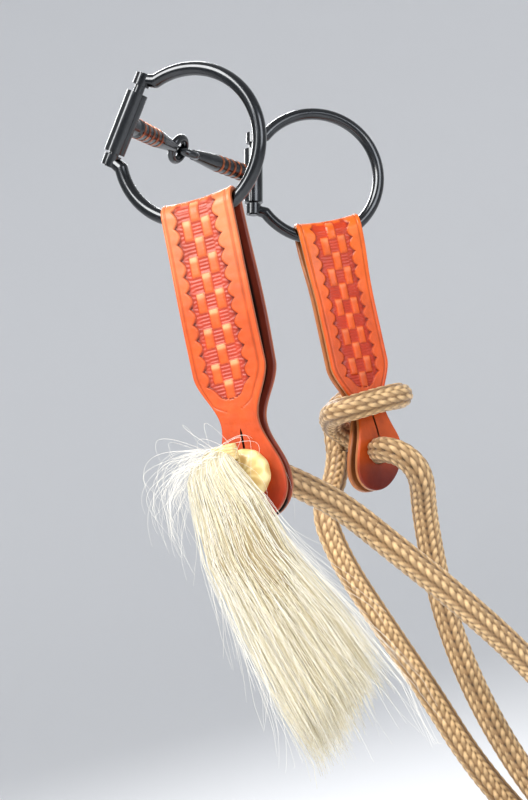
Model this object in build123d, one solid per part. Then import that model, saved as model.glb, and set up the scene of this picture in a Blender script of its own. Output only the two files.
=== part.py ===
from build123d import *
import os
from math import cos, radians, sin, tan

# A loose-dee snaffle bit with slobber straps and a rope mecate, hanging by its mouthpiece.
# Millimetres. +Z is up, the mouthpiece runs along X, and the origin is the middle of its joint.
# A strap's own axes are x across it, y through it from front to back, and z up.

# ---- driving dimensions: the bit -------------------------------------------------------------
CANNON_LENGTH = 63.3           # from the joint's middle to the hinge pin's axis
CANNON_BUTT_RADIUS = 4.4       # where the cannon leaves its barrel
CANNON_RADIUS = 5.0            # the cannon at its fullest, under the first copper band
CANNON_NECK_RADIUS = 2.9       # and where it runs into its eye
CANNON_BUTT_END = 8.5          # distances from the pin's axis
CANNON_FULL_AT = 10.5
CANNON_TAPER_AT = 36.0
CANNON_TAPER_RADIUS = 4.6
EYE_RADIUS = 6.2               # centreline of the eye's wire
EYE_WIRE_RADIUS = 2.2
EYE_OFFSET = 3.5               # each eye's middle from the joint's middle
BAND_COUNT = 5
BAND_WIDTH = 1.6
BAND_PITCH = 5.0
FIRST_BAND = 11.5
BAND_PROUD = 0.2
BAND_DEPTH = 0.8
BARREL_RADIUS = 5.4
BARREL_LENGTH = 32.0
PIN_RADIUS = 2.65
PIN_LENGTH = 50.0
PIN_RUNNING_CLEARANCE = 0.08
RING_RADIUS = 38.0             # centreline of the dee's round part
RING_BAR_RADIUS = 3.4
BAR_TIP_RADIUS = 2.9           # the bar thins a little into its boss
RING_CENTRE = 37.0             # from the pin's axis
RING_RISE = 1.5                # the barrel sits low on its pin
BOSS_HEIGHT = 6.0
BOSS_RADIUS = 4.3
BOSS_MIDDLE = 21.5             # of each pin boss, from the ring's middle
BAR_END_ANGLE = 38             # where the round part ends, seen from its own centre

# How each side hangs: the mouthpiece half's heading and climb, its roll about its own length,
# how far its ring is turned on the pin, and where on the ring the strap hangs, in degrees.
SIDES = {
    "left": {"heading": 187.5, "climb": 1.9, "roll": 37.9, "ring_turn": -88, "strap_at": -53.5},
    "right": {"heading": -7.65, "climb": -8.8, "roll": -9.9, "ring_turn": 136, "strap_at": -78},
}

# ---- driving dimensions: the slobber straps ---------------------------------------------------
STRAP_WIDTH = 38.0
LEATHER = 3.5
FOLD_INNER = 5.1               # the fold's own radius, loose around the ring's bar
FOLD_DROP = 1.0                # the fold's centreline below the bar's
STRAP_TOP = 8.0                # heights on the strap, from the bar's lowest point
SHOULDER = -82.0
NECK = -100.0
NECK_WIDTH = 19.5
TAB_MIDDLE = -130.0
TAB_TIP = -151.0
TAB_WIDTH = 34.0
HOLE_HEIGHT = -129.0
HOLE_RADIUS = 7.8
SLIT_TOP = -106.0
SLIT_WIDTH = 2.2

# ---- driving dimensions: the rawhide button and the horsehair tassel --------------------------
BUTTON_RADIUS = 12.0
BUTTON_THICKNESS = 11.0
BUTTON_EDGE = 4.5
BUTTON_BACK = -9.0             # through the left strap, in front of it
BINDING_RADIUS = 8.0
BINDING_TOP = -112.0
BINDING_BOTTOM = -122.0
TASSEL_DEPTH = -29.0
BINDING_ACROSS = -1.0
# height, middle across, half width and half depth of each level of the hair
TASSEL_LEVELS = (
    (-122.2, -1, 9, 8),
    (-135, -3, 18, 8.2),
    (-166, 0, 23.5, 12),
    (-200, 12, 29, 14),
    (-234, 24, 29, 15),
    (-260, 31, 23, 14),
)

# ---- driving dimensions: the rope and its leather ---------------------------------------------
ROPE = 14.0
STUB_END = 10.0                # the rope's straight stretch through the left tab ends behind it
COIL_CENTRE = (66, -46, -510)
COIL_RADIUS = 75.0
COIL_BUNDLE_RADIUS = 29.0
COIL_HEADING = -52.3           # from the coil's middle to its tied side, in degrees about Z
TIE_HEIGHT = 16.0
TIE_THICKNESS = 2.5
TIE_GAP = 0.9
POPPER_LENGTH = 92.0
POPPER_WIDTH = 26.0
POPPER_THICKNESS = 7.0
POPPER_CORNER = 3.0
ARC_SHARE = 0.45               # of the shorter run beside a corner that its arc takes up

# Routes of the rope's free stretches, each a list of points chosen by hand. The hitch's points
# are in the right strap's own axes, and the others' in the object's.
REIN_LEFT_ROUTE = (
    (-50.9, -32.6, -186.5),
    (-37.1, -30.4, -186.7),
    (-25, -40, -197),
    (-9, -51, -212),
    (10, -64, -237),
    (34, -81, -271),
    (62, -98, -311),
    (88, -113, -358),
    (103, -121, -410),
    (102, -124, -458),
    (105, -120.5, -500),
)
REIN_RIGHT_START = ((0, -9, -129), (0, -20, -129), (8, -29, -134), (16, -30, -147))
REIN_RIGHT_ROUTE = (
    (79, -57, -222),
    (81, -54, -250),
    (82, -53, -290),
    (85, -59, -337),
    (91, -73, -385),
    (101, -93, -428),
    (112, -108, -465),
    (120.5, -116, -500),
)
HITCH_ROUTE = (
    (0, -9, -129),
    (0, 12, -129),
    (-3, 22, -122),
    (-11, 22.5, -114),
    (-19, 17, -107.5),
    (-20.5, 5, -103),
    (-20, -10.5, -102.5),
    (-11, -19, -102.5),
    (7, -19, -101),
    (19, -13, -100.5),
    (20.8, 3, -100),
    (15, 16.8, -99),
    (3, 20.5, -97),
    (-8, 25.5, -94),
    (-17, 33, -97),
    (-22, 35, -110),
    (-23, 32, -124),
)
TAIL_START = ((-23, 32, -124), (-24, 29, -138))
TAIL_ROUTE = (
    (82, 5, -210),
    (81, 4, -242),
    (86, -9, -280),
    (88, -27, -324),
    (91, -43, -370),
    (102, -63, -412),
    (118, -84, -455),
    (128.7, -102, -498),
)
TAIL_END_ROUTE = ((125.4, -122.4, -502), (125.4, -122.4, -588))


# ---- frames -----------------------------------------------------------------------------------

def unit(heading, climb):
    """A unit vector from its heading about Z and its climb above level, in degrees."""
    level = cos(radians(climb))
    return Vector(level * cos(radians(heading)), level * sin(radians(heading)), sin(radians(climb)))


def mouth_plane(side):
    """Where one mouthpiece half is: origin on the pin's axis, x towards the joint, z along the pin."""
    out = unit(side["heading"], side["climb"])
    inward = -out
    level_pin = Vector(0, 0, 1) - inward * inward.Z
    pin_axis = level_pin.normalized().rotate(Axis((0, 0, 0), inward), side["roll"])
    return Plane(origin=out * CANNON_LENGTH, x_dir=inward, z_dir=pin_axis)


def ring_plane(side):
    """The dee's own frame: x from the pin towards the ring's centre, z along the pin, y its normal."""
    mouth = mouth_plane(side)
    toward_centre = mouth.x_dir.rotate(Axis((0, 0, 0), mouth.z_dir), side["ring_turn"])
    return Plane(origin=mouth.origin + mouth.z_dir * RING_RISE, x_dir=toward_centre, z_dir=mouth.z_dir)


def strap_plane(side):
    """The strap's own frame: origin on the ring's bar, x along the bar, y through the strap, z up."""
    ring = ring_plane(side)
    angle = radians(side["strap_at"])
    from_centre = ring.x_dir * cos(angle) + ring.z_dir * sin(angle)
    along_bar = ring.z_dir * cos(angle) - ring.x_dir * sin(angle)
    centre = ring.origin + ring.x_dir * RING_CENTRE
    return Plane(origin=centre + from_centre * RING_RADIUS, x_dir=along_bar, z_dir=-from_centre)


# ---- the bit's pieces, each in its own frame --------------------------------------------------

def rod(start, end, start_radius, end_radius):
    """A straight round bar between two points, tapered if its radii differ."""
    start, end = Vector(start), Vector(end)
    axis = end - start
    bar = Cone(start_radius, end_radius, axis.length, align=(Align.CENTER, Align.CENTER, Align.MIN))
    return Plane(origin=start, z_dir=axis.normalized()).location * bar


def turned(points):
    """A solid turned about X from the (distance, radius) points of its outline."""
    outline = Polyline([(x, radius, 0) for x, radius in points], close=True)
    return revolve(make_face(outline), Axis.X, 360)


def cannon_radius(distance):
    """The cannon's radius under its copper bands."""
    share = (distance - CANNON_FULL_AT) / (CANNON_TAPER_AT - CANNON_FULL_AT)
    return CANNON_RADIUS + (CANNON_TAPER_RADIUS - CANNON_RADIUS) * share


def band_solids(proud, depth):
    """The rings of the copper bands, from depth under the cannon's surface to proud above it."""
    rings = []
    for i in range(BAND_COUNT):
        near = FIRST_BAND + i * BAND_PITCH
        surface = cannon_radius(near + BAND_WIDTH / 2)
        low, high = surface - depth, surface + proud
        far = near + BAND_WIDTH
        rings.append(turned([(near, low), (near, high), (far, high), (far, low)]))
    return rings


def cannon(eye_normal):
    """One mouthpiece half: turned from its butt to its neck, with grooves for the bands and an eye."""
    eye_middle = CANNON_LENGTH - EYE_OFFSET
    neck_end = eye_middle - EYE_RADIUS
    body = turned(
        [
            (0, 0),
            (0, CANNON_BUTT_RADIUS),
            (CANNON_BUTT_END, CANNON_BUTT_RADIUS),
            (CANNON_FULL_AT, CANNON_RADIUS),
            (CANNON_TAPER_AT, CANNON_TAPER_RADIUS),
            (neck_end, CANNON_NECK_RADIUS),
            (neck_end, 0),
        ]
    )
    eye = Plane(origin=(eye_middle, 0, 0), z_dir=eye_normal).location * Torus(EYE_RADIUS, EYE_WIRE_RADIUS)
    body = body - Cylinder(BARREL_RADIUS, BARREL_LENGTH) + eye
    for groove in band_solids(2 * BAND_PROUD, BAND_DEPTH):
        body = body - groove
    return body


def barrel():
    """The tube that turns on the hinge pin."""
    bore_radius = PIN_RADIUS + PIN_RUNNING_CLEARANCE
    return Cylinder(BARREL_RADIUS, BARREL_LENGTH) - Cylinder(bore_radius, BARREL_LENGTH)


def hinge_pin():
    """The straight side of the dee, headed over in its two bosses."""
    return Cylinder(PIN_RADIUS, PIN_LENGTH)


def dee_ring():
    """The round bar of the dee, with a boss at each end that holds the pin."""
    round_part = Rot(0, 0, -(180 - BAR_END_ANGLE)) * Torus(
        RING_RADIUS, RING_BAR_RADIUS, major_angle=360 - 2 * BAR_END_ANGLE
    )
    ring = Pos(RING_CENTRE, 0, 0) * Rot(90, 0, 0) * round_part
    for up in (1, -1):
        bar_end = (
            RING_CENTRE - RING_RADIUS * cos(radians(BAR_END_ANGLE)),
            0,
            up * RING_RADIUS * sin(radians(BAR_END_ANGLE)),
        )
        boss_middle = (0, 0, up * BOSS_MIDDLE)
        ring += Pos(*bar_end) * Sphere(RING_BAR_RADIUS)
        ring += rod(bar_end, boss_middle, RING_BAR_RADIUS, BAR_TIP_RADIUS)
        ring += Pos(*boss_middle) * Cylinder(BOSS_RADIUS, BOSS_HEIGHT)
    return ring - Cylinder(PIN_RADIUS, PIN_LENGTH)


# ---- the strap and what hangs on it, in the strap's own frame ---------------------------------

def strap_outline():
    """The flat shape of a folded strap from above the bar to its round tab, in the plane y = 0."""
    half, neck, tab = STRAP_WIDTH / 2, NECK_WIDTH / 2, TAB_WIDTH / 2
    right_side = Spline((half, 0, SHOULDER), (neck, 0, NECK), (tab, 0, TAB_MIDDLE))
    left_side = Spline((-tab, 0, TAB_MIDDLE), (-neck, 0, NECK), (-half, 0, SHOULDER))
    edges = [
        Line((-half, 0, STRAP_TOP), (half, 0, STRAP_TOP)),
        Line((half, 0, STRAP_TOP), (half, 0, SHOULDER)),
        right_side,
        ThreePointArc((tab, 0, TAB_MIDDLE), (0, 0, TAB_TIP), (-tab, 0, TAB_MIDDLE)),
        left_side,
        Line((-half, 0, SHOULDER), (-half, 0, STRAP_TOP)),
    ]
    return make_face(edges)


def fold_solid(radius, face):
    """Both layers and their fold around the ring's bar, filled out to a radius from the fold's line."""
    fold_radius = RING_RADIUS + FOLD_DROP
    to_ring_centre = Pos(0, 0, RING_RADIUS) * Rot(90, 0, 0)
    layers = extrude(face, radius, dir=(0, 1, 0)) + extrude(face, radius, dir=(0, -1, 0))
    layers = layers - to_ring_centre * Cylinder(fold_radius, 4 * radius)
    width = face.bounding_box().size.X
    edge_height = RING_RADIUS + radius
    fold = to_ring_centre * Torus(fold_radius, radius)
    fold = fold & Pos(0, 0, radius) * Box(width, 4 * radius, edge_height)
    return layers + fold


def slobber_strap():
    """One strap, doubled over the ring's bar, with a hole and a slit through both layers of its tab."""
    outline = strap_outline()
    middle, height = (STRAP_TOP + TAB_TIP) / 2, STRAP_TOP - TAB_TIP
    wide = Plane.XZ * Pos(0, middle) * Rectangle(2 * STRAP_WIDTH, height + STRAP_WIDTH)
    strap = fold_solid(FOLD_INNER + LEATHER, outline) - fold_solid(FOLD_INNER, wide)
    through = 4 * (FOLD_INNER + LEATHER)
    hole = Pos(0, 0, HOLE_HEIGHT) * Rot(90, 0, 0) * Cylinder(HOLE_RADIUS, through)
    slit_height = SLIT_TOP - HOLE_HEIGHT
    slit = Pos(0, 0, HOLE_HEIGHT + slit_height / 2) * Box(SLIT_WIDTH, through, slit_height)
    return strap - hole - slit


def rawhide_button():
    """The button that stops the rope's end in front of the left tab."""
    middle = BUTTON_BACK - BUTTON_THICKNESS / 2
    disc = Pos(0, middle, HOLE_HEIGHT) * Rot(90, 0, 0) * Cylinder(BUTTON_RADIUS, BUTTON_THICKNESS)
    return fillet(disc.edges().filter_by(GeomType.CIRCLE), BUTTON_EDGE)


def tassel_binding():
    """The cord wrapping round the top of the hair, in front of the button."""
    height = BINDING_TOP - BINDING_BOTTOM
    middle = (BINDING_ACROSS, TASSEL_DEPTH, (BINDING_TOP + BINDING_BOTTOM) / 2)
    return Pos(*middle) * Cylinder(BINDING_RADIUS, height)


def tassel():
    """The horsehair as one closed solid, through an ellipse at each level."""
    levels = [
        Pos(across, TASSEL_DEPTH, height) * Ellipse(half_width, half_depth)
        for height, across, half_width, half_depth in TASSEL_LEVELS
    ]
    return loft(levels)


# ---- the rope ---------------------------------------------------------------------------------

def corner_radii(route):
    """A rope's arcs are as large as the runs beside each corner allow."""
    radii = []
    for before, corner, after in zip(route, route[1:], route[2:]):
        run_in, run_out = corner - before, after - corner
        half_turn = radians(run_in.get_angle(run_out)) / 2
        radii.append(ARC_SHARE * min(run_in.length, run_out.length) / tan(half_turn))
    return radii


def rope_tube(name, route):
    """A stretch of rope along a route, with its radii and its volume against section times length."""
    route = [Vector(*point) for point in route]
    path = FilletPolyline(*route, radius=corner_radii(route)) if len(route) > 2 else Line(*route)
    start = Plane(origin=route[0], z_dir=route[1] - route[0])
    tube = sweep(start * Circle(ROPE / 2), path=path)
    filled = tube.volume / (path.length * Circle(ROPE / 2).area)
    radii = [round(radius) for radius in corner_radii(route)]
    print(f"{name}: {path.length:.0f} mm, arcs {radii} mm, volume {filled:.4f} of section times length")
    return tube


def coil_plane():
    """The coil's own frame: x towards its tied side, y up, z the coil's axis."""
    toward_tie = unit(COIL_HEADING, 0)
    return Plane(origin=COIL_CENTRE, x_dir=toward_tie, z_dir=toward_tie.cross(Vector(0, 0, 1)))


def coil_tie():
    """The leather string wrapped round all the turns on the coil's tied side."""
    inner = COIL_BUNDLE_RADIUS + TIE_GAP
    band = Cylinder(inner + TIE_THICKNESS, TIE_HEIGHT) - Cylinder(inner, TIE_HEIGHT)
    return coil_plane().location * Pos(COIL_RADIUS, 0, 0) * Rot(90, 0, 0) * band


def popper():
    """The doubled leather flap sewn on the rope's end."""
    end = TAIL_END_ROUTE[-1]
    flap = Box(POPPER_WIDTH, POPPER_THICKNESS, POPPER_LENGTH, align=(Align.CENTER, Align.CENTER, Align.MAX))
    flap = fillet(flap.edges().filter_by(Axis.Z), POPPER_CORNER)
    return Pos(*end) * Rot(0, 0, COIL_HEADING) * flap


# ---- put every piece where it hangs -----------------------------------------------------------

parts = {}
left_pin = mouth_plane(SIDES["left"]).z_dir
for side_name, side in SIDES.items():
    mouth, ring, strap = mouth_plane(side), ring_plane(side), strap_plane(side)
    if side_name == "left":
        eye_normal = Vector(0, 1, 0)
    else:
        # the right eye hooks over the left one's wire, square to the left pin
        square = left_pin - mouth.x_dir * left_pin.dot(mouth.x_dir)
        eye_normal = mouth.to_local_coords(square + mouth.origin)
    parts[f"{side_name}_cannon"] = mouth.location * cannon(eye_normal)
    parts[f"{side_name}_barrel"] = mouth.location * barrel()
    bands = [mouth.location * band for band in band_solids(BAND_PROUD, BAND_DEPTH)]
    parts[f"{side_name}_copper_bands"] = Compound(bands)
    parts[f"{side_name}_dee_ring"] = ring.location * dee_ring()
    parts[f"{side_name}_hinge_pin"] = ring.location * hinge_pin()
    parts[f"{side_name}_slobber_strap"] = strap.location * slobber_strap()

left_strap, right_strap = strap_plane(SIDES["left"]), strap_plane(SIDES["right"])
parts["rawhide_button"] = left_strap.location * rawhide_button()
parts["tassel_binding"] = left_strap.location * tassel_binding()
parts["horsehair_tassel"] = left_strap.location * tassel()

stub = [left_strap.from_local_coords(Vector(0, y, HOLE_HEIGHT)) for y in (BUTTON_BACK, STUB_END)]
rein_right_start = [right_strap.from_local_coords(Vector(*point)) for point in REIN_RIGHT_START]
hitch = [right_strap.from_local_coords(Vector(*point)) for point in HITCH_ROUTE]
tail_start = [right_strap.from_local_coords(Vector(*point)) for point in TAIL_START]
parts["rope_end_in_tab"] = rope_tube("rope_end_in_tab", stub)
parts["rein_left"] = rope_tube("rein_left", REIN_LEFT_ROUTE)
parts["rein_right"] = rope_tube("rein_right", rein_right_start + list(REIN_RIGHT_ROUTE))
parts["rope_hitch"] = rope_tube("rope_hitch", hitch)
parts["rope_tail"] = rope_tube("rope_tail", tail_start + list(TAIL_ROUTE))
parts["rope_tail_end"] = rope_tube("rope_tail_end", TAIL_END_ROUTE)
parts["rope_coil"] = coil_plane().location * Torus(COIL_RADIUS, COIL_BUNDLE_RADIUS)
parts["coil_tie"] = coil_tie()
parts["popper"] = popper()

os.makedirs("parts", exist_ok=True)
for node, shape in parts.items():
    export_step(shape, f"parts/{node}.step")
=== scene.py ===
"""The visual model of a jointed snaffle bit with slobber straps and a rope mecate."""

from math import cos, pi, radians, sin

import bpy
import numpy as np
from mathutils import Matrix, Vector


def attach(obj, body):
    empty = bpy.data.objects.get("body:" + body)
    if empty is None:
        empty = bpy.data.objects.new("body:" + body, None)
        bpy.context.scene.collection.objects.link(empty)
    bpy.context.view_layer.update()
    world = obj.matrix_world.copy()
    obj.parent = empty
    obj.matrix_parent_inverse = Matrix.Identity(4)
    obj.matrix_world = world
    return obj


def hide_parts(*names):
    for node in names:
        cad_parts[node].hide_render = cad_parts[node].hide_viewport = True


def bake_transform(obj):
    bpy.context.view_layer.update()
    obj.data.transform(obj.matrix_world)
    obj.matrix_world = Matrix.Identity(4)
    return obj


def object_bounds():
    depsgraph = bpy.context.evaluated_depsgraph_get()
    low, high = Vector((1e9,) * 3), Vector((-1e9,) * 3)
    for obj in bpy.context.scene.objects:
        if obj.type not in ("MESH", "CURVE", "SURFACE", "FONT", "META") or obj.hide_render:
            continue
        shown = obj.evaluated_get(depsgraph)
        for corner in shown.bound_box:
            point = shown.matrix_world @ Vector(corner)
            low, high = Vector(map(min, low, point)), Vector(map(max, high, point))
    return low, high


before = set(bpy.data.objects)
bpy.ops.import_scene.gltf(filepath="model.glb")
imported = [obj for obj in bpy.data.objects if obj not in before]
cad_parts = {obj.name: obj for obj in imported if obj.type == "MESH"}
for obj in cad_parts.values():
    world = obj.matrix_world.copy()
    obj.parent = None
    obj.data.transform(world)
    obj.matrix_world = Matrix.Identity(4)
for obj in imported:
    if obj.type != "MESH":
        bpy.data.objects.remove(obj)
cad_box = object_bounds()
rng = np.random.default_rng(7)
MM = 0.001

# ---- the camera -------------------------------------------------------------------------------
CAMERA_AT = (-0.6013, -0.3450, -0.2146)
CAMERA_RIGHT = (0.4889, -0.8416, -0.2296)
CAMERA_UP = (0.0260, -0.2490, 0.9682)
CAMERA_AHEAD = (0.8720, 0.4793, 0.0998)
LENS = 58.05
SENSOR = 36.0


def add_object(name, data):
    """An object in the scene."""
    obj = bpy.data.objects.new(name, data)
    bpy.context.scene.collection.objects.link(obj)
    return obj


def stand_at(obj, at, axes):
    """Places an object with its own three axes along the ones given."""
    rows = [[*(float(axis[i]) for axis in axes), at[i]] for i in range(3)]
    obj.matrix_world = Matrix(rows + [[0, 0, 0, 1]])


camera_data = bpy.data.cameras.new("camera")
camera_data.sensor_fit = "VERTICAL"
camera_data.sensor_height = SENSOR
camera_data.lens = LENS
camera_data.clip_end = 60
camera = add_object("camera", camera_data)
stand_at(camera, CAMERA_AT, (CAMERA_RIGHT, CAMERA_UP, -np.array(CAMERA_AHEAD)))
bpy.context.scene.camera = camera
bpy.context.scene.view_settings.view_transform = "Standard"


# ---- frames of the hanging pieces, as in the CAD ----------------------------------------------
# Each strap's own axes: x across it, n through it from front to back, v up, from the ring's bar.
STRAPS = {
    "left": (
        (-58.8128, -37.1549, -57.4488),
        (0.157442, -0.987210, -0.025048),
        (0.987406, 0.157771, -0.011709),
        (0.015511, -0.022889, 0.999618),
    ),
    "right": (
        (84.2178, -36.1262, -54.6495),
        (0.608626, -0.793187, -0.020686),
        (0.793457, 0.608417, 0.015947),
        (-0.000063, -0.026119, 0.999659),
    ),
}


def strap_point(side, points):
    """Points in a strap's own axes, in mm, as metres in the object's frame."""
    origin, x, n, v = (np.array(part) for part in STRAPS[side])
    points = np.atleast_2d(np.array(points, float))
    return (origin + points[:, :1] * x + points[:, 1:2] * n + points[:, 2:] * v) * MM


# ---- meshes and materials ---------------------------------------------------------------------

NO_TRIANGLES = np.empty((0, 3), int)


def new_mesh(name, vertices, quads, triangles=NO_TRIANGLES, paint=None):
    """A smooth mesh object of quads and triangles: vertices in metres, and a colour for each."""
    mesh = bpy.data.meshes.new(name)
    mesh.vertices.add(len(vertices))
    mesh.vertices.foreach_set("co", np.asarray(vertices, float).ravel())
    corners = np.r_[quads.ravel(), triangles.ravel()]
    mesh.loops.add(len(corners))
    mesh.loops.foreach_set("vertex_index", corners)
    mesh.polygons.add(len(quads) + len(triangles))
    starts = np.r_[np.arange(len(quads)) * 4, quads.size + np.arange(len(triangles)) * 3]
    mesh.polygons.foreach_set("loop_start", starts)
    mesh.polygons.foreach_set("use_smooth", np.full(len(starts), True))
    mesh.update(calc_edges=True)
    mesh.validate()
    obj = add_object(name, mesh)
    if paint is not None:
        set_paint(obj, paint)
    return obj


def set_paint(obj, paint):
    """A linear colour for each vertex, or one for all, which the material reads."""
    paint = np.broadcast_to(np.asarray(paint, float), (len(obj.data.vertices), 3))
    layer = obj.data.color_attributes.new("paint", "FLOAT_COLOR", "POINT")
    layer.data.foreach_set("color", np.c_[paint, np.ones(len(paint))].ravel())


def linear(*rgb):
    """A linear colour from its everyday values out of 255."""
    share = np.array(rgb, float) / 255
    return np.where(share <= 0.04045, share / 12.92, ((share + 0.055) / 1.055) ** 2.4)


def circle(count):
    """Evenly spaced angles all the way round."""
    return np.linspace(0, 2 * pi, count, endpoint=False)


def grid_faces(rows, columns):
    """Quads over a grid of rows by columns, joined round its columns."""
    i, j = np.meshgrid(np.arange(rows - 1), np.arange(columns), indexing="ij")
    k = (j + 1) % columns
    row, below = i * columns, (i + 1) * columns
    return np.stack([row + j, row + k, below + k, below + j], axis=-1).reshape(-1, 4)


def tube_mesh(name, rings, ends, paint):
    """A closed tube through rings of points, with a fan of triangles round a point at each end."""
    rows, around = rings.shape[:2]
    hub = rows * around
    k = np.arange(around)
    j = (k + 1) % around
    triangles = np.r_[
        np.stack([j, k, np.full(around, hub)], axis=1),
        np.stack([k + hub - around, j + hub - around, np.full(around, hub + 1)], axis=1),
    ]
    points = np.r_[rings.reshape(-1, 3), ends]
    return new_mesh(name, points, grid_faces(rows, around), triangles, paint)


def square_round(c, power):
    """A sine or cosine pushed outwards, so that an oval becomes a rounded box."""
    return np.sign(c) * np.abs(c) ** power


def ease(x):
    """Smooth from 0 to 1."""
    x = np.clip(x, 0, 1)
    return x * x * (3 - 2 * x)


class Shader:
    """A material's node tree around one Principled shader."""

    def __init__(self, name):
        self.material = bpy.data.materials.new(name)
        self.material.use_nodes = True
        self.nodes = self.material.node_tree.nodes
        self.links = self.material.node_tree.links
        self.surface = self.nodes["Principled BSDF"]

    def add(self, kind, **settings):
        node = self.nodes.new(kind)
        for key, value in settings.items():
            if hasattr(node, key):
                setattr(node, key, value)
            else:
                node.inputs[key.replace("_", " ")].default_value = value
        return node

    def place(self, scale=(1, 1, 1)):
        """Object coordinates, stretched by a scale on each axis."""
        where = self.add("ShaderNodeTexCoord")
        mapping = self.add("ShaderNodeMapping")
        mapping.inputs["Scale"].default_value = scale
        self.links.new(where.outputs["Object"], mapping.inputs["Vector"])
        return mapping.outputs["Vector"]

    def noise(self, scale, detail=4.0, rough=0.55, where=None):
        node = self.add("ShaderNodeTexNoise", Scale=scale, Detail=detail, Roughness=rough)
        self.links.new(where or self.place(), node.inputs["Vector"])
        return node.outputs["Fac"]

    def ramp(self, value, *stops):
        """A colour ramp with (position, colour) stops."""
        node = self.add("ShaderNodeValToRGB")
        while len(node.color_ramp.elements) < len(stops):
            node.color_ramp.elements.new(0.5)
        for element, (position, colour) in zip(node.color_ramp.elements, stops):
            element.position = position
            shades = (colour,) * 3 if isinstance(colour, (int, float)) else tuple(colour)
            element.color = (*(float(c) for c in shades), 1)
        self.links.new(value, node.inputs["Fac"])
        return node.outputs["Color"]

    def mix(self, share, a, b, blend="MIX"):
        """Two colours mixed, where share, a and b are sockets or plain values."""
        node = self.add("ShaderNodeMix", data_type="RGBA", blend_type=blend)
        for socket, value in ((node.inputs[0], share), (node.inputs[6], a), (node.inputs[7], b)):
            if isinstance(value, bpy.types.NodeSocket):
                self.links.new(value, socket)
            elif isinstance(value, (int, float)):
                socket.default_value = value
            else:
                socket.default_value = (*(float(c) for c in value), 1)
        return node.outputs[2]

    def paint(self):
        node = self.add("ShaderNodeVertexColor", layer_name="paint")
        return node.outputs["Color"]

    def bump(self, height, distance, strength=1.0, after=None):
        node = self.add("ShaderNodeBump", Strength=strength, Distance=distance)
        self.links.new(height, node.inputs["Height"])
        if after is not None:
            self.links.new(after, node.inputs["Normal"])
        return node.outputs["Normal"]

    def finish(self, colour=None, roughness=None, normal=None, **values):
        for key, value in values.items():
            self.surface.inputs[key.replace("_", " ")].default_value = value
        if colour is not None:
            self.links.new(colour, self.surface.inputs["Base Color"])
        if roughness is not None:
            self.links.new(roughness, self.surface.inputs["Roughness"])
        if normal is not None:
            self.links.new(normal, self.surface.inputs["Normal"])
        return self.material


def steel_material():
    """Blued, almost black steel, with a soft polish, fine scratches and slightly rubbed patches."""
    s = Shader("blackened_steel")
    blued, polished, rubbed = (0.010, 0.012, 0.015), (0.026, 0.029, 0.033), (0.06, 0.06, 0.058)
    colour = s.ramp(s.noise(55, 5), (0.35, blued), (0.62, polished), (0.8, rubbed))
    rough = s.ramp(s.noise(120, 6, 0.7), (0.3, 0.16), (0.75, 0.30))
    scratches = s.bump(s.noise(900, 3, 0.6, s.place((1, 1, 0.12))), 0.00005, 0.25)
    return s.finish(colour, rough, scratches, Metallic=1.0, Coat_Weight=0.8, Coat_Roughness=0.13)


def copper_material():
    """Bright copper inlay with a little tarnish."""
    s = Shader("copper")
    colour = s.ramp(s.noise(400, 4), (0.35, (0.16, 0.045, 0.022)), (0.65, (0.46, 0.16, 0.08)))
    rough = s.ramp(s.noise(700, 3), (0.3, 0.22), (0.7, 0.42))
    return s.finish(colour, rough, Metallic=1.0)


def leather_material(name, coat):
    """Waxed leather: painted tooling with a fine grain, uneven dye and creases."""
    s = Shader(name)
    blotch = s.ramp(s.noise(90, 5, 0.6), (0.3, (0.78, 0.74, 0.72)), (0.7, (1.10, 1.08, 1.05)))
    colour = s.mix(1.0, s.paint(), blotch, "MULTIPLY")
    streak = s.ramp(s.noise(260, 4, 0.6, s.place((1, 1, 0.25))), (0.35, 0.84), (0.6, 1.04))
    colour = s.mix(0.6, colour, s.mix(1.0, colour, streak, "MULTIPLY"))
    cells = s.add("ShaderNodeTexVoronoi", Scale=1500.0, feature="DISTANCE_TO_EDGE")
    s.links.new(s.place(), cells.inputs["Vector"])
    grain = s.bump(cells.outputs["Distance"], 0.00012, 0.30)
    soft = s.bump(s.noise(700, 5, 0.65), 0.00018, 0.45, grain)
    rough = s.ramp(s.noise(200, 4), (0.3, 0.34), (0.7, 0.50))
    return s.finish(colour, rough, soft, Coat_Weight=coat, Coat_Roughness=0.25, Specular_IOR_Level=0.3)


def rope_material():
    """Braided synthetic rope: painted stitches with fine lengthways fibres and a slight sheen."""
    s = Shader("rope")
    patches = s.ramp(s.noise(40, 4), (0.3, (0.90, 0.88, 0.86)), (0.7, (1.06, 1.05, 1.04)))
    fibres = s.ramp(s.noise(2600, 3, 0.7), (0.3, 0.80), (0.7, 1.10))
    colour = s.mix(1.0, s.mix(1.0, s.paint(), patches, "MULTIPLY"), fibres, "MULTIPLY")
    normal = s.bump(s.noise(2200, 3, 0.7), 0.00016, 0.5)
    return s.finish(colour, normal=normal, Roughness=0.52, Sheen_Weight=0.25, Sheen_Roughness=0.4)


def hair_material():
    """Pale horsehair."""
    s = Shader("horsehair")
    shade = s.ramp(s.noise(500, 2, 0.5), (0.3, (0.94, 0.93, 0.91)), (0.7, (1.06, 1.05, 1.03)))
    colour = s.mix(1.0, s.paint(), shade, "MULTIPLY")
    gloss = {"Roughness": 0.42, "Specular_IOR_Level": 0.6, "Sheen_Weight": 0.4, "Sheen_Roughness": 0.4}
    return s.finish(colour, **gloss)


def rawhide_material():
    """Varnished rawhide, cream with amber in its hollows."""
    s = Shader("rawhide")
    blotch = s.ramp(s.noise(220, 5), (0.3, (0.86, 0.80, 0.68)), (0.7, (1.04, 1.03, 1.0)))
    colour = s.mix(1.0, s.paint(), blotch, "MULTIPLY")
    pores = s.bump(s.noise(900, 4), 0.0001, 0.4)
    return s.finish(colour, normal=pores, Roughness=0.34, Coat_Weight=0.3)


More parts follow.
